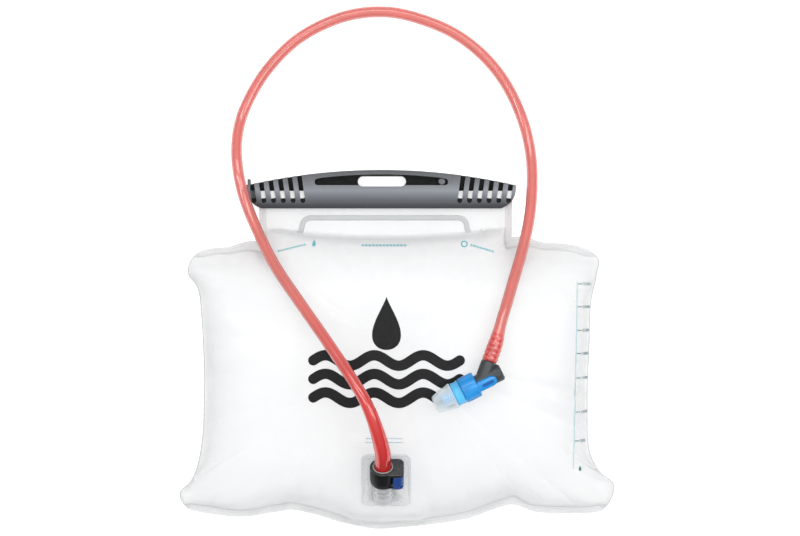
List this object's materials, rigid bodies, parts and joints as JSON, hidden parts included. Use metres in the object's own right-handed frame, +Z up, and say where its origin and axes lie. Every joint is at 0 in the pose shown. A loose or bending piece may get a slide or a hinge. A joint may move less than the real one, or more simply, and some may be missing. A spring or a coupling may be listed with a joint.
{
  "type": "hydration bladder",
  "caption": "Soft film water reservoir with slide-seal mouth, quick-release drain port, drinking hose and twist bite valve.",
  "frame": {"origin": "centre of the bounding box without the hose, on the table under the bag", "axes": "+X across the bag along the slide closure, +Y from the drain port to the filling mouth, +Z up from the table"},
  "size_m": [0.384, 0.4619, 0.1094],
  "materials": {
    "film": "clear milky film",
    "rail": "satin",
    "band": "satin",
    "closure": "satin",
    "clear_plastic": "clear",
    "black_plastic": "satin",
    "charcoal_plastic": "satin",
    "blue_plastic": "satin",
    "light_blue_plastic": "satin",
    "seal_rubber": "matt",
    "spring_steel": "bright",
    "hose_tube": "clear coral",
    "silicone": "clear"
  },
  "bodies": {
    "reservoir": {"front_panel": "film", "back_panel": "film", "front_mouth_rail": "rail", "back_mouth_rail": "rail", "neck_band": "band", "port_body": "clear_plastic", "port_o_ring": "seal_rubber", "spring_retainer": "black_plastic", "poppet_spring": "spring_steel"},
    "closure": {"slide_closure": "closure"},
    "poppet": {"port_poppet": "rail"},
    "hose_set": {"connector_body": "black_plastic", "hose_barb": "black_plastic", "button_spring": "spring_steel", "hose": "hose_tube", "elbow_body": "charcoal_plastic", "spigot_o_ring": "seal_rubber"},
    "button": {"release_button": "blue_plastic"},
    "mouthpiece": {"twist_collar": "blue_plastic", "valve_core": "light_blue_plastic", "bite_sheath": "silicone"}
  },
  "joints": [
    {"name": "closure_slide", "type": "slide", "parent": "reservoir", "child": "closure", "axis": [-1, 0, 0], "range_m": [0, 0.24]},
    {"name": "hose_unplug", "type": "slide", "parent": "reservoir", "child": "hose_set", "axis": [0, 0.788, 0.6157], "range_m": [0, 0.03]},
    {"name": "poppet_close", "type": "slide", "parent": "reservoir", "child": "poppet", "axis": [0, 0.788, 0.6157], "range_m": [0, 0.0039], "deforming": ["poppet_spring"]},
    {"name": "button_press", "type": "slide", "parent": "hose_set", "child": "button", "axis": [-1, 0, 0], "range_m": [0, 0.002], "stiffness_N_per_m": 1500, "deforming": ["button_spring"]},
    {"name": "valve_twist", "type": "hinge", "parent": "hose_set", "child": "mouthpiece", "pos_m": [0.0729, -0.0251, 0.072], "axis": [0.8942, 0.4478, 0], "range_deg": [0, 90]}
  ],
  "couplings": [
    {"joint": "poppet_close", "follows": "hose_unplug", "ratio": 0.13}
  ]
}
